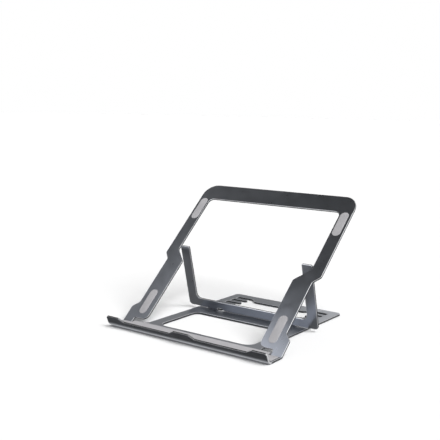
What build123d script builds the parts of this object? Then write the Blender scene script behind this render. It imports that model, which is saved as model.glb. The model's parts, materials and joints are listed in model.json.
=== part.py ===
"""Folding laptop stand: a base sheet with a hooked front lip, a tilting tray frame and a prop frame.

Millimetres, +Z up, the front lip towards -Y, X = 0 on the plane of symmetry.  The origin is the
middle of the footprint on the table.  The tray frame turns about two short pins in the front corners
of the base.  The support frame turns about two pins in the edges of the tray's arms and drops its
tabs into one of six pairs of notches in the base.  Folded, all three sheets lie one inside the other.
"""
import os
from math import cos, radians, sin

from build123d import *

# ---- Sheet, edges and hinge hardware ------------------------------------------------------------
SHEET = 3.0                 # thickness of all three sheets
BRIGHT_CHAMFER = 0.55       # polished chamfer round the side that shows
BACK_CHAMFER = 0.3          # small chamfer round the other side
PIN_R = 0.8
BORE_R = 0.85               # running bore for a pin
BORE_END = 0.5              # free length of a blind bore past the pin's end
FRONT_PIN_DEPTH = 9.7       # how far the front pins reach into the base
SUPPORT_PIN_DEPTH = 8.0     # how far the support pins reach into the tray's arms
PIN_RECESS = 0.7            # pin heads below the edge they were driven in from
WASHER_R = 1.4
WASHER_T = 0.7
HINGE_GAP = 1.3             # side gap between two sheets at a hinge
WASHER_CLEAR = (HINGE_GAP - WASHER_T) / 2

# ---- Base sheet ---------------------------------------------------------------------------------
HALF_WIDTH = 150.0          # over the lip and over the tray
FOOT_PROUD = 0.8            # rubber feet below the base sheet
FOOT_POCKET = 0.6
FRONT = -148.5              # top outer edge of the lip
REAR = 148.6
REAR_CORNER = 8.0
BASE_HALF = 107.0           # outer edge of the side rails
WINDOW_HALF = 87.5          # inner edge of the side rails
BASE_Z = FOOT_PROUD
BASE_TOP = BASE_Z + SHEET
HINGE_Y = -108.6            # front hinge axis, in the middle of the sheet
HINGE_Z = BASE_Z + SHEET / 2
NECK_IN = 132.0             # inner edge of the tray's hinge necks
EAR_BACK = HINGE_Y - SHEET / 2 - 0.8
EAR_NOTCH = NECK_IN - HINGE_GAP
CROSSBAR_BACK = -102.0      # back edge of the front crossbar between the necks
WINDOW_FRONT = -95.0
WINDOW_BACK = 2.4
NOTCH_FIRST = 33.3          # front edge of the first notch
NOTCH_END = 91.0            # outer end of the notches, within the rails
NOTCH_WIDTH = 11.0
NOTCH_PITCH = 17.5
NOTCH_COUNT = 6
FINGER_TIP = 65.0           # the fingers reach in from the rails to here
FINGER_W = NOTCH_PITCH - NOTCH_WIDTH
REAR_STEP = 119.0           # back edge of the rear window in the middle
REAR_STEP_HALF = 49.0       # half width of that middle part
REAR_SLOPE_HALF = 62.0      # half width at the far end of its slopes

# ---- Front lip ----------------------------------------------------------------------------------
LIP_ANGLE = 68.0            # rise of the lip above the table, leaning outwards
LIP_BEND_IN = 9.0           # inner bend radius
LIP_TOP = 18.8              # highest edge of the tabs
LIP_DROP = 5.4              # tabs above the low stretches, along the lip
LIP_CORNER = 3.5            # rounding of the lip's upper corners
TAB_MID_HALF = 14.5
TAB_SIDE_IN = 125.5
TAB_SLOPE = 10.5

# ---- Tray frame: s is the distance up the tray from the front hinge axis ------------------------
TRAY_ANGLE = 42.14
TRAY_TOP = 301.5
TRAY_BAR_LOW = 269.1        # lower edge of the top crossbar
LOBE_LOW = 9.4              # lower edge of the lobe beside the neck
STEP_LOW = 28.2
STEP_HIGH = 38.2
LOWER_OUT = 139.7
LOWER_IN = 106.8
KINK_LOW = 130.1
KINK_OUT_HIGH = 141.8
KINK_IN_HIGH = 152.0
UPPER_IN = 128.6
PIVOT_S = 158.4             # support pivot

# ---- Support frame: v is the distance up the sheet from the pivot -------------------------------
SUPPORT_LEAN = 104.2        # angle of the sheet from +Y, its top leaning to the front
SUPPORT_OUT = UPPER_IN - HINGE_GAP
SUPPORT_IN = 109.0
SUPPORT_END = 3.0
SUPPORT_BAR_TOP = -92.4
SUPPORT_FOOT = -106.8       # lower edge of the feet, above the base's rails
SUPPORT_MIDDLE = -108.5     # lower edge between the reliefs, inside the rear window
SUPPORT_CORNER = 6.0        # outer corner at the foot of each arm
TAB_END = -110.0
TAB_IN = 68.0
TAB_OUT = 86.0
RELIEF_IN = 54.0
RELIEF_RISE = 2.8
RELIEF_SLOPE = 4.5

# ---- Soft pads ----------------------------------------------------------------------------------
PAD_W = 14.4
PAD_L = 48.0
PAD_POCKET = 1.0
PAD_T = 1.5
PAD_EDGE = 0.4
PAD_PLACES = {"lower": (123.8, 42.1), "upper": (138.4, 245.0)}   # centre x and s
TROUGH_PAD_T = 0.8
TROUGH_PAD_HALF = 147.5
TROUGH_PAD_WAIST = 128.5
TROUGH_PAD_FRONT = -133.2
TROUGH_PAD_EAR = -112.7
TROUGH_PAD_BACK = -103.2
FOOT_W = 10.0
FOOT_L = 44.0
FOOT_PLACES = {"front": (112.0, -122.5), "rear": (82.0, 138.6)}

SIDES = {"left": -1, "right": 1}
TOUCH = 0.01                # tolerance for picking edges by their place

tray_up = Vector(0, cos(radians(TRAY_ANGLE)), sin(radians(TRAY_ANGLE)))
hinge_axis = Vector(0, HINGE_Y, HINGE_Z)
tray_plane = Plane(origin=hinge_axis, x_dir=(1, 0, 0), z_dir=(0, -tray_up.Z, tray_up.Y))
pivot = hinge_axis + tray_up * PIVOT_S
support_up = Vector(0, cos(radians(SUPPORT_LEAN)), sin(radians(SUPPORT_LEAN)))
support_plane = Plane(origin=pivot, x_dir=(1, 0, 0), z_dir=(0, -support_up.Z, support_up.Y))


def mirrored(half):
    """Close a right-hand outline of (x, y, corner radius) with its mirror image."""
    return half + [(-x, y, r) for x, y, r in reversed(half)]


def face(outline):
    """A flat face inside a closed outline of (x, y, corner radius)."""
    points = [(x, y) for x, y, _ in outline]
    line = FilletPolyline(points, radius=[r for _, _, r in outline], close=True)
    return make_face(line.edges())


def sheet(outline, holes=()):
    """A sheet about its middle plane, with its holes cut through."""
    plate = extrude(face(outline), amount=SHEET / 2, both=True)
    for hole in holes:
        plate -= extrude(face(hole), amount=SHEET, both=True)
    return plate


def edges_at(plate, level):
    """The edges of a level sheet that lie flat at one height."""
    def lies_there(edge):
        box = edge.bounding_box()
        return abs(box.min.Z - level) < TOUCH and abs(box.max.Z - level) < TOUCH

    return plate.edges().filter_by(lies_there)


def rim_edges(lip, lip_face, level):
    """The edges round the free rim of the lip on one of its sides."""
    def lies_there(edge):
        ends = [lip_face.to_local_coords(edge @ place) for place in (0, 0.5, 1)]
        on_side = all(abs(end.Z - level) < TOUCH for end in ends)
        return on_side and all(end.Y > -LIP_CORNER - TOUCH for end in ends)

    return lip.edges().filter_by(lies_there)


def stadium(length, width, depth):
    """A slot-shaped block along X, from Z = 0 up."""
    return extrude(SlotOverall(length, width), amount=depth)


def rod(radius, start, end, centre):
    """A cylinder along X, from one x to another, about a line through the centre."""
    middle = Pos((start + end) / 2, centre.Y, centre.Z)
    return middle * Rot(0, 90, 0) * Cylinder(radius, abs(end - start))


def lip_section():
    """The bend and the lip in the Y-Z plane, with the lip's own directions and inner top edge."""
    rise = radians(LIP_ANGLE)
    outer_r = LIP_BEND_IN + SHEET
    along = Vector(-cos(rise), sin(rise))
    inward = Vector(sin(rise), cos(rise))
    length = (LIP_TOP - BASE_Z - outer_r * (1 - cos(rise)) - SHEET * cos(rise)) / along.Y
    bend_y = FRONT + outer_r * sin(rise) + length * cos(rise)
    centre = Vector(bend_y, BASE_Z + outer_r)
    halfway = Vector(-sin(rise / 2), -cos(rise / 2))
    outer_end = centre - inward * outer_r
    inner_end = centre - inward * LIP_BEND_IN
    top_inner = inner_end + along * length
    top_outer = outer_end + along * length
    edges = [Line((bend_y, BASE_Z), (bend_y, BASE_TOP)),
             ThreePointArc((bend_y, BASE_TOP), centre + halfway * LIP_BEND_IN, inner_end),
             Line(inner_end, top_inner),
             Line(top_inner, top_outer),
             Line(top_outer, outer_end),
             ThreePointArc(outer_end, centre + halfway * outer_r, (bend_y, BASE_Z))]
    return make_face(edges), bend_y, top_inner, inward


def lip_cuts():
    """What is cut from the lip's rim on the right-hand side, measured from its top edge."""
    low = [(TAB_MID_HALF - 1, SHEET, 0), (TAB_MID_HALF - 1, 0, 0), (TAB_MID_HALF, 0, 1.5),
           (TAB_MID_HALF + TAB_SLOPE, -LIP_DROP, 3), (TAB_SIDE_IN - TAB_SLOPE, -LIP_DROP, 3),
           (TAB_SIDE_IN, 0, 1.5), (TAB_SIDE_IN + 1, 0, 0), (TAB_SIDE_IN + 1, SHEET, 0)]
    block = Pos(HALF_WIDTH, 0) * Rectangle(2 * LIP_CORNER, 2 * LIP_CORNER)
    corner = block - Pos(HALF_WIDTH - LIP_CORNER, -LIP_CORNER) * Circle(LIP_CORNER)
    return face(low), corner


def rear_window():
    """The rear window, with the fingers that part the notches along both rails."""
    half = [(NOTCH_END, NOTCH_FIRST, 1.5)]
    tip_r = FINGER_W / 2 - 0.05
    for step in range(1, NOTCH_COUNT):
        back = NOTCH_FIRST + step * NOTCH_PITCH
        front = back - FINGER_W
        half += [(NOTCH_END, front, 1.5), (FINGER_TIP, front, tip_r)]
        half += [(FINGER_TIP, back, tip_r), (NOTCH_END, back, 1.5)]
    last = NOTCH_FIRST + (NOTCH_COUNT - 1) * NOTCH_PITCH + NOTCH_WIDTH
    half += [(NOTCH_END, last, 3), (REAR_SLOPE_HALF, last, 6), (REAR_STEP_HALF, REAR_STEP, 8)]
    return mirrored(half)


def make_base():
    section, bend_y, rim, inward = lip_section()
    half = [(HALF_WIDTH, bend_y, 0), (HALF_WIDTH, EAR_BACK, 1), (EAR_NOTCH, EAR_BACK, 0.6),
            (EAR_NOTCH, CROSSBAR_BACK, 3), (BASE_HALF, CROSSBAR_BACK, 9), (BASE_HALF, REAR, REAR_CORNER)]
    front_window = mirrored([(WINDOW_HALF, WINDOW_FRONT, 15), (WINDOW_HALF, WINDOW_BACK, 11)])
    flat = Pos(0, 0, BASE_Z + SHEET / 2) * sheet(mirrored(half), [front_window, rear_window()])
    lip = extrude(Plane.YZ * section, amount=HALF_WIDTH, both=True)
    lip_face = Plane(origin=(0, rim.X, rim.Y), x_dir=(-1, 0, 0), z_dir=(0, inward.X, inward.Y))
    for cut in lip_cuts():
        for shape in (cut, mirror(cut, Plane.YZ)):
            lip -= extrude(lip_face * shape, amount=2 * SHEET, both=True)
    base = flat + lip
    outline = edges_at(base, BASE_TOP).filter_by(
        lambda edge: edge.bounding_box().max.Y > bend_y + TOUCH)
    base = chamfer(outline + rim_edges(base, lip_face, 0), BRIGHT_CHAMFER)
    base = chamfer(rim_edges(base, lip_face, -SHEET), BACK_CHAMFER)
    for side in SIDES.values():
        inner = side * (EAR_NOTCH - FRONT_PIN_DEPTH - BORE_END)
        base -= rod(BORE_R, inner, side * (EAR_NOTCH + 1), hinge_axis)
        for x, y in FOOT_PLACES.values():
            base -= Pos(side * x, y, BASE_Z) * stadium(FOOT_L, FOOT_W, FOOT_POCKET)
    return base


def make_tray():
    half = [(UPPER_IN, TRAY_BAR_LOW, 9), (UPPER_IN, KINK_IN_HIGH, 6), (LOWER_IN, KINK_LOW, 6),
            (LOWER_IN, LOBE_LOW, 10), (NECK_IN, LOBE_LOW, 3.5), (NECK_IN, 0, 0),
            (HALF_WIDTH, 0, 0), (HALF_WIDTH, STEP_LOW, 6), (LOWER_OUT, STEP_HIGH, 6),
            (LOWER_OUT, KINK_LOW, 6), (HALF_WIDTH, KINK_OUT_HIGH, 6), (HALF_WIDTH, TRAY_TOP, 24.5)]
    tray = sheet(mirrored(half))
    for level, size in ((SHEET / 2, BRIGHT_CHAMFER), (-SHEET / 2, BACK_CHAMFER)):
        rim = edges_at(tray, level).filter_by(lambda edge: edge.bounding_box().max.Y > TOUCH)
        tray = chamfer(rim, size)
    for side in SIDES.values():
        for x, s in PAD_PLACES.values():
            pocket = Pos(side * x, s, SHEET / 2 - PAD_POCKET) * Rot(0, 0, 90)
            tray -= pocket * stadium(PAD_L, PAD_W, SHEET)
    tray = tray_plane * tray
    for side in SIDES.values():
        tray += rod(SHEET / 2, side * (NECK_IN + BACK_CHAMFER), side * (HALF_WIDTH - BACK_CHAMFER),
                    hinge_axis)
        tray -= rod(PIN_R, side * (NECK_IN - 1), side * (HALF_WIDTH + 1), hinge_axis)
        tray -= rod(BORE_R, side * (UPPER_IN - 1),
                    side * (UPPER_IN + SUPPORT_PIN_DEPTH + BORE_END), pivot)
    return tray


def make_support():
    half = [(SUPPORT_IN, SUPPORT_BAR_TOP, 9), (SUPPORT_IN, SUPPORT_END, 2),
            (SUPPORT_OUT, SUPPORT_END, 2), (SUPPORT_OUT, SUPPORT_FOOT, SUPPORT_CORNER),
            (TAB_OUT, SUPPORT_FOOT, 1.2), (TAB_OUT, TAB_END, 1.2), (TAB_IN, TAB_END, 1.2),
            (TAB_IN, SUPPORT_FOOT + RELIEF_RISE, 2.5),
            (RELIEF_IN + RELIEF_SLOPE, SUPPORT_FOOT + RELIEF_RISE, 2.5), (RELIEF_IN, SUPPORT_MIDDLE, 2)]
    support = sheet(mirrored(half))
    for level, size in ((SHEET / 2, BRIGHT_CHAMFER), (-SHEET / 2, BACK_CHAMFER)):
        support = chamfer(edges_at(support, level), size)
    support = support_plane * support
    for side in SIDES.values():
        support -= rod(PIN_R, side * (SUPPORT_IN - 1), side * (SUPPORT_OUT + 1), pivot)
    return support


def make_pins():
    """Pins and spacer washers of both hinge pairs."""
    parts = {}
    for name, side in SIDES.items():
        front_end = EAR_NOTCH - FRONT_PIN_DEPTH
        parts[f"front_hinge_pin_{name}"] = rod(PIN_R, side * front_end,
                                               side * (HALF_WIDTH - PIN_RECESS), hinge_axis)
        support_end = UPPER_IN + SUPPORT_PIN_DEPTH
        parts[f"support_pin_{name}"] = rod(PIN_R, side * (SUPPORT_IN + PIN_RECESS),
                                           side * support_end, pivot)
        gaps = {"front_hinge_washer": (EAR_NOTCH, hinge_axis), "support_washer": (SUPPORT_OUT, pivot)}
        for washer, (gap, axis) in gaps.items():
            start = side * (gap + WASHER_CLEAR)
            end = side * (gap + WASHER_CLEAR + WASHER_T)
            parts[f"{washer}_{name}"] = rod(WASHER_R, start, end, axis) - rod(PIN_R, start, end, axis)
    return parts


def make_pads():
    """The silicone pads on the tray's arms, the one in the trough and the rubber feet."""
    parts = {}
    for name, side in SIDES.items():
        for place, (x, s) in PAD_PLACES.items():
            pad = Pos(side * x, s, SHEET / 2 - PAD_POCKET) * Rot(0, 0, 90) * stadium(PAD_L, PAD_W, PAD_T)
            pad = fillet(edges_at(pad, SHEET / 2 - PAD_POCKET + PAD_T), PAD_EDGE)
            parts[f"tray_pad_{place}_{name}"] = tray_plane * pad
        for place, (x, y) in FOOT_PLACES.items():
            foot = Pos(side * x, y, 0) * stadium(FOOT_L, FOOT_W, FOOT_PROUD + FOOT_POCKET)
            parts[f"foot_{place}_{name}"] = foot
    half = [(TROUGH_PAD_HALF, TROUGH_PAD_FRONT, 1.5), (TROUGH_PAD_HALF, TROUGH_PAD_EAR, 1.5),
            (TROUGH_PAD_WAIST, TROUGH_PAD_EAR, 1.5), (TROUGH_PAD_WAIST, TROUGH_PAD_BACK, 3)]
    strip = extrude(face(mirrored(half)), amount=TROUGH_PAD_T)
    strip = fillet(edges_at(strip, TROUGH_PAD_T), PAD_EDGE)
    parts["trough_pad"] = Pos(0, 0, BASE_TOP) * strip
    return parts


parts = {"base_plate": make_base(), "tray_frame": make_tray(), "support_frame": make_support()}
parts.update(make_pins())
parts.update(make_pads())
os.makedirs("parts", exist_ok=True)
for node, shape in parts.items():
    export_step(shape, f"parts/{node}.step")
    size = shape.bounding_box().size
    print(f"{node:28s} {size.X:7.1f} {size.Y:7.1f} {size.Z:7.1f}  {shape.volume / 1000:8.2f} cm3")
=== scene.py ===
# %% [markdown]
# # A folding laptop stand
#
# The stand is three sheets of anodised aluminium that fold into each other: a base with a
# curled front lip, a tray frame with soft pads, and a support frame that stands in notches of
# the base. The sheets, their hinges and every size come from the CAD frame. This lesson
# gives them their finishes, models the soft pads, feet and hinge pins afresh with Blender's
# own tools, and lights the stand for a product picture.

# %% Load the frame
import json
from math import cos, pi, radians, sin

import bmesh
import bpy
from mathutils import Matrix, Vector


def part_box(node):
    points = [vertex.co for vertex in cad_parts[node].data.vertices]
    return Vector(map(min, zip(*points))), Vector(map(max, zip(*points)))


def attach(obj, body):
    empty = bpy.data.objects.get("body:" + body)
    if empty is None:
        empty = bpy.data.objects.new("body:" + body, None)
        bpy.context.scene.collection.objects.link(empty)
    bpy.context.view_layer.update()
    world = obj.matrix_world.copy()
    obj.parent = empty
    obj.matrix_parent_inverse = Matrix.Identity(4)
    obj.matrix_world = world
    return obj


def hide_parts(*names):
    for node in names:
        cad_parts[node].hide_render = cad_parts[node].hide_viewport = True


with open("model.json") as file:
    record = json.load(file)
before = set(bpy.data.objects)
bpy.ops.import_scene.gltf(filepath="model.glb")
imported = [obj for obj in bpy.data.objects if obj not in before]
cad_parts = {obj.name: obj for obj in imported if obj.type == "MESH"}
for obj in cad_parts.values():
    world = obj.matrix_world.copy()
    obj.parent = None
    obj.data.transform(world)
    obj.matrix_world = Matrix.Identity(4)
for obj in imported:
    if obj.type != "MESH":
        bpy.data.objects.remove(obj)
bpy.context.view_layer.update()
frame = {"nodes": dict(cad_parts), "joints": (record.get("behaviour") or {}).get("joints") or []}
nodes = frame["nodes"]
MM = 0.001
SIDES = ("left", "right")

# %% [markdown]
# ## Camera
#
# The picture is taken from the front right, a little above the stand, with a long lens that
# keeps the sheets' edges nearly parallel. The camera leans by under a degree. Its three axes
# are built from the direction it looks in, so the numbers stay easy to read.

# %% Camera
CAMERA_PLACE = Vector((0.6864, -0.9825, 0.3463))
CAMERA_TURN = radians(36.48)       # to the left of straight ahead
CAMERA_DIP = radians(8.47)         # below the horizon
CAMERA_ROLL = radians(0.796)
LENS = 62.77                       # on a sensor 36 mm wide

look = Vector((-sin(CAMERA_TURN) * cos(CAMERA_DIP), cos(CAMERA_TURN) * cos(CAMERA_DIP),
               -sin(CAMERA_DIP)))
level_right = look.cross(Vector((0, 0, 1))).normalized()
level_up = level_right.cross(look)
axes = Matrix((level_right, level_up, -look)).transposed()
turn = Matrix.Rotation(CAMERA_ROLL, 3, "Z")
camera_data = bpy.data.cameras.new("camera")
camera_data.lens = LENS
camera_data.sensor_width = 36.0
camera_data.clip_end = 100.0
camera = bpy.data.objects.new("camera", camera_data)
camera.matrix_world = Matrix.Translation(CAMERA_PLACE) @ (axes @ turn).to_4x4()
bpy.context.collection.objects.link(camera)
bpy.context.scene.camera = camera
print("camera looks along", [round(v, 3) for v in look])

# %% [markdown]
# ## Floor and light
#
# A product picture wants a floor that melts into the background, so the floor is one wide
# pale sheet under a white sky, and a broad weak sun gives it soft shadows. Satin metal is
# different: it shows the room around it, and a white room would wash it out. So for
# reflections alone the world is a darker studio that changes with height, from front to back
# and from left to right, and a few soft boxes stand where the sheets' faces look: one low
# over the front for the tray's arms, one behind for the flat base, and one at the right.

# %% Floor
FLOOR_SIZE = 40.0

bpy.ops.object.select_all(action="DESELECT")
bpy.ops.mesh.primitive_plane_add(size=FLOOR_SIZE, location=(0, 0, 0))
floor = bpy.context.object
floor.name = "floor"
floor_finish = bpy.data.materials.new("floor_pale")
floor_finish.use_nodes = True
floor_shader = floor_finish.node_tree.nodes["Principled BSDF"]
floor_shader.inputs["Base Color"].default_value = (0.93, 0.93, 0.93, 1)
floor_shader.inputs["Roughness"].default_value = 0.9
floor_shader.inputs["Specular IOR Level"].default_value = 0.0
floor.data.materials.append(floor_finish)
floor.visible_glossy = False

# %% World
BACKDROP = 1.0                     # brightness of the background
SKY = 0.3                          # brightness of the sky that lights the floor and the pads
# Height of a direction, from 0 straight down to 1 straight up, and the studio's light there,
# in front of the stand and behind it.
STUDIO_FRONT = ((0.0, 0.04), (0.12, 0.05), (0.2, 0.2), (0.27, 0.42), (0.38, 1.0), (0.5, 0.7),
                (0.62, 0.22), (0.8, 0.8), (0.9, 0.115), (1.0, 0.05))
STUDIO_BEHIND = ((0.0, 0.3), (0.1, 0.9), (0.25, 0.9), (0.33, 0.6), (0.42, 0.8), (0.5, 0.5),
                 (0.62, 0.34), (0.8, 0.7), (0.9, 0.115), (1.0, 0.05))
TURN_OVER = 0.25                   # how far from sideways the front gives way to the back
# In front, the studio gets darker to the left: sideways reach of a direction, and the light.
FADE_LEFT = (-0.64, 0.4)
FADE_RIGHT = (-0.5, 1.35)

world = bpy.data.worlds.new("studio")
bpy.context.scene.world = world
world.use_nodes = True
sky = world.node_tree.nodes
wire = world.node_tree.links.new
direction = sky.new("ShaderNodeTexCoord")
split = sky.new("ShaderNodeSeparateXYZ")
height = sky.new("ShaderNodeMapRange")
height.inputs["From Min"].default_value = -1.0
behind = sky.new("ShaderNodeMapRange")
behind.inputs["From Min"].default_value = -TURN_OVER
behind.inputs["From Max"].default_value = TURN_OVER


def studio_side(points):
    """The studio's light by height on one side of the stand."""
    node = sky.new("ShaderNodeFloatCurve")
    curve = node.mapping.curves[0]
    for place, light in points[1:-1]:
        curve.points.new(place, light)
    curve.points[0].location = points[0]
    curve.points[len(points) - 1].location = points[-1]
    node.mapping.update()
    wire(height.outputs["Result"], node.inputs["Value"])
    return node.outputs["Value"]


fade = sky.new("ShaderNodeMapRange")
fade.inputs["From Min"].default_value, fade.inputs["To Min"].default_value = FADE_LEFT
fade.inputs["From Max"].default_value, fade.inputs["To Max"].default_value = FADE_RIGHT
front = sky.new("ShaderNodeMath")
front.operation = "MULTIPLY"
studio = sky.new("ShaderNodeMix")
ray = sky.new("ShaderNodeLightPath")
plain = sky.new("ShaderNodeMix")
plain.inputs["A"].default_value = SKY
plain.inputs["B"].default_value = BACKDROP
strength = sky.new("ShaderNodeMix")
wire(direction.outputs["Generated"], split.inputs["Vector"])
wire(split.outputs["Z"], height.inputs["Value"])
wire(split.outputs["Y"], behind.inputs["Value"])
wire(behind.outputs["Result"], studio.inputs["Factor"])
wire(split.outputs["X"], fade.inputs["Value"])
wire(fade.outputs["Result"], front.inputs[0])
wire(studio_side(STUDIO_FRONT), front.inputs[1])
wire(front.outputs["Value"], studio.inputs["A"])
wire(studio_side(STUDIO_BEHIND), studio.inputs["B"])
wire(ray.outputs["Is Camera Ray"], plain.inputs["Factor"])
wire(ray.outputs["Is Glossy Ray"], strength.inputs["Factor"])
wire(plain.outputs["Result"], strength.inputs["A"])
wire(studio.outputs["Result"], strength.inputs["B"])
wire(strength.outputs["Result"], sky["Background"].inputs["Strength"])
sky["Background"].inputs["Color"].default_value = (1, 1, 1, 1)
bpy.context.scene.view_settings.view_transform = "Standard"

# %% Sun and soft boxes
SUN_FROM = Vector((0.8, -0.15, 1.0))
SUN_SPREAD = radians(44)
SUN_POWER = 3.25

sun = bpy.data.objects.new("sun", bpy.data.lights.new("sun", "SUN"))
sun.data.energy = SUN_POWER
sun.data.angle = SUN_SPREAD
sun.rotation_euler = SUN_FROM.to_track_quat("Z", "Y").to_euler()
sun.visible_glossy = False
bpy.context.collection.objects.link(sun)


def soft_box(name, place, target, size, brightness, colour=(1, 1, 1)):
    """A soft light that only shows in reflections. Its brightness is what a mirror would show."""
    data = bpy.data.lights.new(name, "AREA")
    data.shape = "RECTANGLE"
    data.size, data.size_y = size
    data.energy = brightness * pi * size[0] * size[1]
    data.color = colour
    light = bpy.data.objects.new(name, data)
    light.location = place
    light.rotation_euler = (Vector(place) - Vector(target)).to_track_quat("Z", "Y").to_euler()
    light.visible_diffuse = False
    light.visible_camera = False
    bpy.context.collection.objects.link(light)
    return light


soft_box("front_overhead", (-0.08, -0.30, 0.34), (-0.02, -0.15, 0.0), (0.53, 0.24), 1.45,
         (0.93, 0.95, 1.0))
soft_box("back", (-0.35, 1.35, 0.42), (0, 0, 0), (0.55, 0.45), 0.65)
soft_box("right", (1.1, 0.1, 0.95), (0.1, 0, 0.1), (0.9, 0.9), 0.9)

# %% [markdown]
# ## Finishes of the sheets
#
# The sheets are blasted to a fine satin and anodised grey, which still reflects as metal. Up
# close the surface is a very fine grain, and its tone drifts a little over a hand's width. The
# chamfers are cut after anodising, so they're bare polished aluminium with fine cutter lines.
# Between two chamfers runs the sheet's cut side, whose colour is painted shade: near-black metal
# that stands in for the shade on the sides. All three are built from noise on Object coordinates,
# so that they stay with the sheet when it moves.

# %% Shader helpers
def new_finish(name):
    """A node material and its Principled node."""
    finish = bpy.data.materials.new(name)
    finish.use_nodes = True
    return finish, finish.node_tree.nodes["Principled BSDF"]


def noise(finish, scale, detail=2.0, stretch=(1, 1, 1), roughness=0.5):
    """Noise on Object coordinates: scale is in cells per metre."""
    tree = finish.node_tree
    place = tree.nodes.new("ShaderNodeTexCoord")
    mapping = tree.nodes.new("ShaderNodeMapping")
    mapping.inputs["Scale"].default_value = stretch
    texture = tree.nodes.new("ShaderNodeTexNoise")
    texture.inputs["Scale"].default_value = scale
    texture.inputs["Detail"].default_value = detail
    texture.inputs["Roughness"].default_value = roughness
    tree.links.new(place.outputs["Object"], mapping.inputs["Vector"])
    tree.links.new(mapping.outputs["Vector"], texture.inputs["Vector"])
    return texture.outputs["Fac"]


def between(finish, factor, low, high, start=0.3, end=0.7):
    """A number that goes from low to high as the factor goes from start to end."""
    node = finish.node_tree.nodes.new("ShaderNodeMapRange")
    node.inputs["From Min"].default_value = start
    node.inputs["From Max"].default_value = end
    node.inputs["To Min"].default_value = low
    node.inputs["To Max"].default_value = high
    finish.node_tree.links.new(factor, node.inputs["Value"])
    return node.outputs["Result"]


def blend_colour(finish, factor, first, second):
    """A colour between two colours."""
    node = finish.node_tree.nodes.new("ShaderNodeMix")
    node.data_type = "RGBA"
    tree = finish.node_tree
    tree.links.new(factor, node.inputs["Factor"])
    for socket, value in (("A", first), ("B", second)):
        colour_socket = [s for s in node.inputs if s.name == socket and s.type == "RGBA"][0]
        if isinstance(value, tuple):
            colour_socket.default_value = (*value, 1)
        else:
            tree.links.new(value, colour_socket)
    return [s for s in node.outputs if s.type == "RGBA"][0]


def bump(finish, height, strength, depth):
    """A bump of that height, in metres, linked to the shader's normal."""
    node = finish.node_tree.nodes.new("ShaderNodeBump")
    node.inputs["Strength"].default_value = strength
    node.inputs["Distance"].default_value = depth
    finish.node_tree.links.new(height, node.inputs["Height"])
    shader = finish.node_tree.nodes["Principled BSDF"]
    finish.node_tree.links.new(node.outputs["Normal"], shader.inputs["Normal"])


# %% Anodised satin, cut sides in painted shade and polished chamfers
def anodised():
    finish, shader = new_finish("anodised_grey")
    links = finish.node_tree.links
    drift = between(finish, noise(finish, 14, detail=3), 0, 1, 0.35, 0.65)
    grain = noise(finish, 2600, detail=1)
    tone = blend_colour(finish, drift, (0.318, 0.334, 0.368), (0.358, 0.374, 0.41))
    speck = blend_colour(finish, between(finish, grain, 0.0, 0.35, 0.5, 0.75),
                         tone, (0.42, 0.43, 0.45))
    links.new(speck, shader.inputs["Base Color"])
    links.new(between(finish, noise(finish, 60, detail=4), 0.27, 0.35),
              shader.inputs["Roughness"])
    shader.inputs["Metallic"].default_value = 1.0
    bump(finish, grain, 0.12, 0.00004)
    return finish


# Painted shade: the cut sides get two near-black metal tones, with streaks along the cut, that
# stand in for the shade on them.
def shaded_cut_side():
    finish, shader = new_finish("painted_shade_side")
    links = finish.node_tree.links
    passes = noise(finish, 500, detail=2, stretch=(1, 1, 6))
    links.new(blend_colour(finish, between(finish, passes, 0, 1), (0.055, 0.058, 0.064),
                           (0.08, 0.083, 0.09)), shader.inputs["Base Color"])
    links.new(between(finish, noise(finish, 300, detail=3), 0.36, 0.46),
              shader.inputs["Roughness"])
    shader.inputs["Metallic"].default_value = 1.0
    bump(finish, passes, 0.1, 0.00003)
    return finish


def polished():
    finish, shader = new_finish("bright_chamfer")
    links = finish.node_tree.links
    lines = noise(finish, 900, detail=2, stretch=(1, 0.3, 0.3))
    links.new(blend_colour(finish, between(finish, lines, 0, 1), (0.74, 0.75, 0.77),
                           (0.84, 0.85, 0.87)), shader.inputs["Base Color"])
    links.new(between(finish, lines, 0.28, 0.42), shader.inputs["Roughness"])
    shader.inputs["Metallic"].default_value = 1.0
    bump(finish, lines, 0.1, 0.00003)
    return finish


anodised_grey = anodised()
painted_shade_side = shaded_cut_side()
bright_chamfer = polished()

# %% [markdown]
# ## Putting the finishes on the sheets
#
# A chamfer is a narrow band of faces that lean half way between a sheet's face and its side.
# So each sheet's own direction is measured first. Faces that look along it are satin, faces
# that lean away from it are polished, and faces square to it are the cut sides, painted dark
# as painted shade. The lip curls up in front of the base, so its rim has a direction of its
# own, and the cut ends of the curl are bright all over.

# %% Tray and support chamfers
hinges = {joint["name"]: Vector(joint["pos_m"]) for joint in frame["joints"]}
tray_up = (hinges["support_hinge"] - hinges["tray_hinge"]).normalized()
tray_out = Vector((0, -tray_up.z, tray_up.y))
LEAN = (0.3, 0.95)                 # how much of a chamfer's direction lies along the sheet's


def facing(obj):
    """The direction that most of a sheet's area faces, turned upwards or forwards."""
    areas = {}
    for polygon in obj.data.polygons:
        key = tuple(round(abs(v), 3) for v in polygon.normal)
        total, _ = areas.get(key, (0, None))
        areas[key] = (total + polygon.area, polygon.normal.copy())
    normal = max(areas.values(), key=lambda entry: entry[0])[1]
    return normal if normal.z > 0 or normal.y < -0.5 else -normal


SATIN, BRIGHT, SIDE = 0, 1, 2      # places of the three finishes on a sheet


def finish_sheet(name, pick):
    """Gives each face of a sheet the finish that is picked by its direction and its place."""
    mesh = nodes[name].data
    mesh.materials.clear()
    # The third finish is the cut sides' painted shade.
    for finish in (anodised_grey, bright_chamfer, painted_shade_side):
        mesh.materials.append(finish)
    for polygon in mesh.polygons:
        polygon.material_index = pick(polygon.normal, polygon.center)
    counts = [sum(polygon.material_index == place for polygon in mesh.polygons)
              for place in (SATIN, BRIGHT, SIDE)]
    print(name, "satin, bright and side faces", counts)


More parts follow.
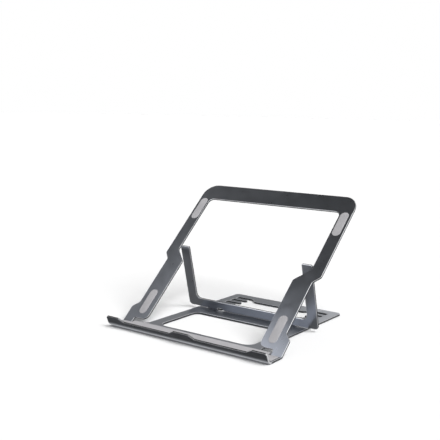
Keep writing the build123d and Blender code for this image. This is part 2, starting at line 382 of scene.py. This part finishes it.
def part_of_sheet(normal, direction):
    """Whether a face lies on a sheet's face, on a chamfer or on the side that was cut."""
    along = abs(normal.dot(direction))
    if along >= LEAN[1]:
        return SATIN
    return BRIGHT if along > LEAN[0] else SIDE


BARREL = 2.2 * MM                  # the rounded hinge end of the tray's necks
support_out = facing(nodes["support_frame"])


def tray_finish(normal, centre):
    """The tray's finishes, with a satin barrel at each hinge neck."""
    if (centre - hinges["tray_hinge"]).dot(tray_up) < BARREL:
        return SATIN
    return part_of_sheet(normal, tray_out)


finish_sheet("tray_frame", tray_finish)
finish_sheet("support_frame", lambda normal, centre: part_of_sheet(normal, support_out))

# %% Base and lip chamfers
LIP_RISE = radians(68)             # of the lip above the table
LIP_FLAT_END = -0.1345             # in front of this the sheet curls up
LIP_STRAIGHT = 0.0115              # above this the curl is over and the lip is straight
lip_in = Vector((0, sin(LIP_RISE), cos(LIP_RISE)))


def base_finish(normal, centre):
    """Chamfers of the flat sheet and of the lip's rim, and the ends of the curl, are bright."""
    if centre.y > LIP_FLAT_END:
        return part_of_sheet(normal, Vector((0, 0, 1)))
    if abs(normal.x) > LEAN[0]:
        return BRIGHT
    if centre.z > LIP_STRAIGHT:
        return part_of_sheet(normal, lip_in)
    return SATIN


finish_sheet("base_plate", base_finish)

# %% [markdown]
# ## Soft pads
#
# Four silicone pads keep the laptop off the metal. Each sits in a pocket of the tray's arm,
# has round ends, a soft moulded edge and a top that is very slightly crowned. A cylinder whose
# two halves are pulled apart in edit mode gives the slot shape with clean round ends. Its size
# and place are measured from the CAD pad in the tray's own directions.

# %% Edit-mode helpers
ROUND = 62                         # corners of a round end; none lies on the seam


def start_clean():
    """Leaves edit mode and selects nothing."""
    if bpy.context.object and bpy.context.object.mode == "EDIT":
        bpy.ops.object.mode_set(mode="OBJECT")
    bpy.ops.object.select_all(action="DESELECT")


def select_vertices(obj, wanted):
    """In edit mode, selects the vertices that are wanted, and edges and faces between them."""
    bpy.ops.mesh.select_all(action="DESELECT")
    mesh = bmesh.from_edit_mesh(obj.data)
    for vertex in mesh.verts:
        vertex.select_set(bool(wanted(vertex.co)))
    mesh.select_flush(True)
    bmesh.update_edit_mesh(obj.data)


def select_faces(obj, wanted):
    """In edit mode, selects the faces that are wanted."""
    bpy.ops.mesh.select_all(action="DESELECT")
    mesh = bmesh.from_edit_mesh(obj.data)
    for face in mesh.faces:
        face.select_set(bool(wanted(face)))
    bmesh.update_edit_mesh(obj.data)


def slot_block(name, length, width, height, edge, crown=0.0):
    """A slot-shaped pad along Y on z = 0, with a rounded top edge and a top that is crowned,
    or dished where the crown is negative."""
    start_clean()
    body = height - max(crown, 0)
    bpy.ops.mesh.primitive_cylinder_add(vertices=ROUND, radius=width / 2, depth=body,
                                        location=(0, 0, body / 2))
    obj = bpy.context.object
    obj.name = name
    bpy.ops.object.transform_apply(location=True, rotation=True, scale=True)
    bpy.ops.object.mode_set(mode="EDIT")
    bpy.context.tool_settings.mesh_select_mode = (True, False, False)
    for way in (1, -1):
        select_vertices(obj, lambda co: co.y * way > 0)
        bpy.ops.transform.translate(value=(0, way * (length - width) / 2, 0))
    select_vertices(obj, lambda co: co.z > body / 2)
    bpy.ops.mesh.bevel(offset=edge, segments=5, affect="EDGES")
    bpy.context.tool_settings.mesh_select_mode = (False, False, True)
    for thickness, rise in ((width * 0.12, crown * 0.6), (width * 0.16, crown * 0.4)):
        select_faces(obj, lambda face: face.normal.z > 0.99 and len(face.verts) > 8)
        bpy.ops.mesh.inset(thickness=thickness)
        bpy.ops.transform.translate(value=(0, 0, rise))
    bpy.ops.object.mode_set(mode="OBJECT")
    bpy.ops.object.shade_smooth_by_angle(angle=radians(40))
    return obj


def put(obj, matrix):
    """Moves a finished piece to its place and leaves its object at the origin."""
    obj.matrix_world = matrix @ obj.matrix_world
    start_clean()
    obj.select_set(True)
    bpy.context.view_layer.objects.active = obj
    bpy.ops.object.transform_apply(location=True, rotation=True, scale=True)


def extent(name, directions):
    """Lowest and highest measure of a CAD node along each of three directions."""
    spans = []
    for direction in directions:
        reach = [vertex.co.dot(direction) for vertex in nodes[name].data.vertices]
        spans.append((min(reach), max(reach)))
    return spans


# %% Silicone
def silicone():
    finish, shader = new_finish("silicone_grey")
    links = finish.node_tree.links
    cloud = between(finish, noise(finish, 45, detail=4), 0, 1)
    links.new(blend_colour(finish, cloud, (0.392, 0.386, 0.4), (0.44, 0.434, 0.448)),
              shader.inputs["Base Color"])
    links.new(between(finish, noise(finish, 700, detail=3), 0.62, 0.8),
              shader.inputs["Roughness"])
    shader.inputs["Specular IOR Level"].default_value = 0.35
    bump(finish, noise(finish, 1800, detail=2), 0.35, 0.00005)
    return finish


silicone_grey = silicone()

# %% The four pads
tray_axes = (Vector((1, 0, 0)), tray_up, tray_out)
PAD_EDGE = 0.45 * MM
PAD_CROWN = 0.15 * MM

for level in ("lower", "upper"):
    for side in SIDES:
        name = f"tray_pad_{level}_{side}"
        across, along, out = extent(name, tray_axes)
        pad = slot_block(f"pad_{level}_{side}", along[1] - along[0], across[1] - across[0],
                         out[1] - out[0], PAD_EDGE, PAD_CROWN)
        pad.data.materials.append(silicone_grey)
        corner = [sum(across) / 2, sum(along) / 2, out[0]]
        middle = sum((axis * value for axis, value in zip(tray_axes, corner)), Vector())
        put(pad, Matrix.Translation(middle) @ Matrix(tray_axes).transposed().to_4x4())
        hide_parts(name)
        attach(pad, "tray")
        print(pad.name, "at", [round(v, 4) for v in middle])

# %% [markdown]
# ## The strip in the trough
#
# Behind the lip lies a wide silicone strip on which the laptop's front edge stands. It is one
# sheet with a step at each end, where the tray's necks need room. A box is cut across at the
# two steps, and the middle of its back is pulled rearwards. Then its corners and its upper rim
# are rounded.

# %% Trough strip
STRIP_WAIST = 128.5 * MM           # half width of the deep middle part
STRIP_STEP = 9.5 * MM              # how much deeper the middle is
CORNER = 1.5 * MM
NEAR = 0.01 * MM


def near(a, b):
    return abs(a - b) < NEAR


def select_edges(obj, wanted):
    """In edit mode, selects the edges whose two ends are wanted together."""
    bpy.ops.mesh.select_all(action="DESELECT")
    mesh = bmesh.from_edit_mesh(obj.data)
    for edge in mesh.edges:
        edge.select_set(bool(wanted(*(vertex.co for vertex in edge.verts))))
    bmesh.update_edit_mesh(obj.data)


def rim_of_top(obj, top):
    """In edit mode, selects the outline of everything that faces up at one height."""
    bpy.ops.mesh.select_all(action="DESELECT")
    mesh = bmesh.from_edit_mesh(obj.data)
    for edge in mesh.edges:
        flat = [face.normal.z > 0.99 and near(face.calc_center_median().z, top)
                for face in edge.link_faces]
        edge.select_set(flat.count(True) == 1)
    bmesh.update_edit_mesh(obj.data)


low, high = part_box("trough_pad")
start_clean()
bpy.ops.mesh.primitive_cube_add(size=1, location=(0, 0, 0))
strip = bpy.context.object
strip.name = "trough_strip"
strip.scale = (high.x - low.x, high.y - low.y - STRIP_STEP, high.z - low.z)
strip.location = (0, (low.y + high.y - STRIP_STEP) / 2, (low.z + high.z) / 2)
bpy.ops.object.transform_apply(location=True, rotation=True, scale=True)
bpy.ops.object.mode_set(mode="EDIT")
for way in (1, -1):
    bpy.ops.mesh.select_all(action="SELECT")
    bpy.ops.mesh.bisect(plane_co=(way * STRIP_WAIST, 0, 0), plane_no=(1, 0, 0))
bpy.context.tool_settings.mesh_select_mode = (False, False, True)
select_faces(strip, lambda face: face.normal.y > 0.9
             and abs(face.calc_center_median().x) < STRIP_WAIST)
bpy.ops.mesh.extrude_region_move(TRANSFORM_OT_translate={"value": (0, STRIP_STEP, 0)})
bpy.context.tool_settings.mesh_select_mode = (False, True, False)
select_edges(strip, lambda a, b: near(a.x, b.x) and near(a.y, b.y)
             and (near(abs(a.x), high.x) or a.y > 0.5 * (low.y + high.y)))
bpy.ops.mesh.bevel(offset=CORNER, segments=6, affect="EDGES")
rim_of_top(strip, high.z)
bpy.ops.mesh.bevel(offset=0.35 * MM, segments=3, affect="EDGES")
bpy.ops.object.mode_set(mode="OBJECT")
bpy.ops.object.shade_smooth_by_angle(angle=radians(40))
strip.data.materials.append(silicone_grey)
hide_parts("trough_pad")
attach(strip, "base")
print("trough strip faces", len(strip.data.polygons))

# %% [markdown]
# ## Rubber feet
#
# Four dark rubber feet are pressed into pockets under the base. They're the same slot shape,
# turned upside down, with a dished sole that grips a smooth desk.

# %% Feet
def rubber():
    finish, shader = new_finish("foot_rubber_dark")
    links = finish.node_tree.links
    dust = between(finish, noise(finish, 160, detail=4), 0, 1)
    links.new(blend_colour(finish, dust, (0.022, 0.022, 0.024), (0.04, 0.04, 0.042)),
              shader.inputs["Base Color"])
    links.new(between(finish, noise(finish, 900, detail=3), 0.7, 0.9),
              shader.inputs["Roughness"])
    shader.inputs["Specular IOR Level"].default_value = 0.3
    bump(finish, noise(finish, 2200, detail=2), 0.4, 0.00006)
    return finish


foot_rubber_dark = rubber()
SOLE_DISH = -0.25 * MM
FOOT_EDGE = 0.35 * MM
upside_down = Matrix.Rotation(pi, 4, "X") @ Matrix.Rotation(pi / 2, 4, "Z")

for place in ("front", "rear"):
    for side in SIDES:
        name = f"foot_{place}_{side}"
        low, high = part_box(name)
        foot = slot_block(f"rubber_{name}", high.x - low.x, high.y - low.y, high.z - low.z,
                          FOOT_EDGE, SOLE_DISH)
        foot.data.materials.append(foot_rubber_dark)
        top = Vector(((low.x + high.x) / 2, (low.y + high.y) / 2, high.z))
        put(foot, Matrix.Translation(top) @ upside_down)
        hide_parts(name)
        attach(foot, "base")
        print(foot.name, "at", [round(v, 4) for v in top])

# %% [markdown]
# ## Hinge pins and washers
#
# Short ground pins join the sheets edge to edge. Each has a chamfer at both ends and a small
# centre mark from turning. In every gap between two sheets runs a thin black nylon washer: a
# disc whose two faces are inset and joined through to make its hole.

# %% Steel and nylon
def ground_steel():
    finish, shader = new_finish("ground_steel")
    links = finish.node_tree.links
    rings = noise(finish, 4000, detail=2, stretch=(1, 0.05, 0.05))
    links.new(blend_colour(finish, between(finish, rings, 0, 1), (0.5, 0.5, 0.51),
                           (0.62, 0.62, 0.63)), shader.inputs["Base Color"])
    links.new(between(finish, rings, 0.22, 0.38), shader.inputs["Roughness"])
    shader.inputs["Metallic"].default_value = 1.0
    bump(finish, rings, 0.15, 0.00002)
    return finish


def nylon():
    finish, shader = new_finish("black_nylon")
    links = finish.node_tree.links
    mottle = between(finish, noise(finish, 1500, detail=3), 0, 1)
    links.new(blend_colour(finish, mottle, (0.014, 0.014, 0.015), (0.024, 0.024, 0.026)),
              shader.inputs["Base Color"])
    links.new(between(finish, noise(finish, 2500, detail=2), 0.42, 0.58),
              shader.inputs["Roughness"])
    bump(finish, noise(finish, 5000, detail=1), 0.2, 0.00002)
    return finish


pin_steel = ground_steel()
washer_nylon = nylon()

# %% Pins
PIN_CORNERS = 48
PIN_CHAMFER = 0.15 * MM
CENTRE_MARK = 0.35 * MM
along_x = Matrix.Rotation(pi / 2, 4, "Y")
HINGE_BODIES = {"front_hinge": "tray", "support": "support"}


def turned_part(name, node, corners, chamfer):
    """A chamfered cylinder at the origin along Z, as large as a CAD node that lies along X."""
    start_clean()
    low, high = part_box(node)
    bpy.ops.mesh.primitive_cylinder_add(vertices=corners, radius=(high.z - low.z) / 2,
                                        depth=high.x - low.x, location=(0, 0, 0))
    obj = bpy.context.object
    obj.name = name
    bpy.ops.object.mode_set(mode="EDIT")
    bpy.context.tool_settings.mesh_select_mode = (False, True, False)
    select_edges(obj, lambda a, b: near(a.z, b.z))
    bpy.ops.mesh.bevel(offset=chamfer, segments=2, affect="EDGES")
    bpy.context.tool_settings.mesh_select_mode = (False, False, True)
    select_faces(obj, lambda face: abs(face.normal.z) > 0.99)
    return obj, (low + high) / 2


def settle(obj, node, middle, finish, body):
    """Puts a finished hinge part in its place in the frame."""
    bpy.ops.object.mode_set(mode="OBJECT")
    bpy.ops.object.shade_smooth_by_angle(angle=radians(30))
    put(obj, Matrix.Translation(middle) @ along_x)
    obj.data.materials.append(finish)
    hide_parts(node)
    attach(obj, body)


for hinge, body in HINGE_BODIES.items():
    for side in SIDES:
        node = f"{hinge}_pin_{side}"
        pin, middle = turned_part(f"steel_{node}", node, PIN_CORNERS, PIN_CHAMFER)
        bpy.ops.mesh.inset(thickness=CENTRE_MARK, use_individual=True)
        bpy.ops.mesh.extrude_faces_move(
            TRANSFORM_OT_shrink_fatten={"value": -0.1 * MM})
        settle(pin, node, middle, pin_steel, body)
        print(pin.name, "at", [round(v, 4) for v in middle])

# %% Washers
WASHER_CORNERS = 40
WASHER_EDGE = 0.08 * MM
WASHER_WALL = 0.5 * MM

for hinge, body in HINGE_BODIES.items():
    for side in SIDES:
        node = f"{hinge}_washer_{side}"
        washer, middle = turned_part(f"nylon_{node}", node, WASHER_CORNERS, WASHER_EDGE)
        bpy.ops.mesh.inset(thickness=WASHER_WALL, use_individual=True)
        bpy.ops.mesh.bridge_edge_loops()
        settle(washer, node, middle, washer_nylon, body)
        print(washer.name, "faces", len(washer.data.polygons))
